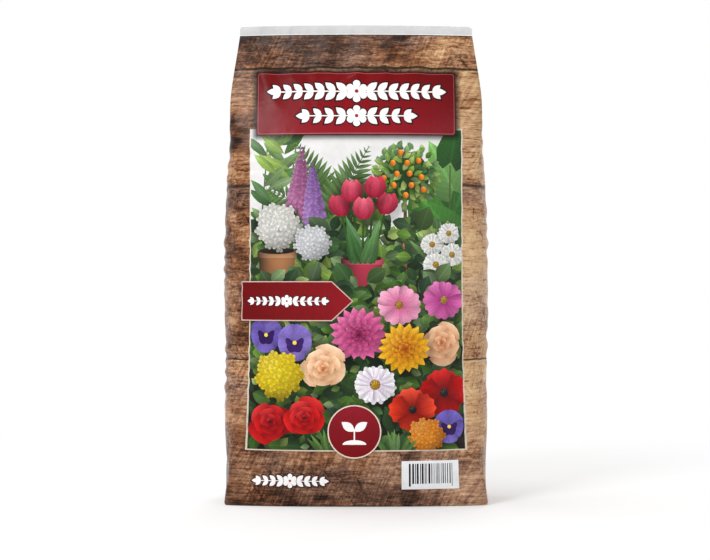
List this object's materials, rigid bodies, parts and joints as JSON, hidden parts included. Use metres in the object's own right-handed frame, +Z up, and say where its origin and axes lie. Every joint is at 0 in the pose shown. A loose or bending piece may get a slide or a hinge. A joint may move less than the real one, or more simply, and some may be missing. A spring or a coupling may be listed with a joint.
{
  "type": "compost bag",
  "caption": "Full, sealed plastic film bag of compost that stands upright, with gusseted sides, puckered edges, tapering shoulders and a flat white seal strip across the top.",
  "frame": {"origin": "middle of the flat base the bag stands on", "axes": "+Z runs up the bag to its seal strip, -Y is the front with the picture, and X runs across the bag"},
  "size_m": [0.4358, 0.207, 0.7785],
  "materials": {
    "printed_film": "satin printed film"
  },
  "bodies": {
    "root": {"bag": "printed_film"}
  },
  "joints": []
}
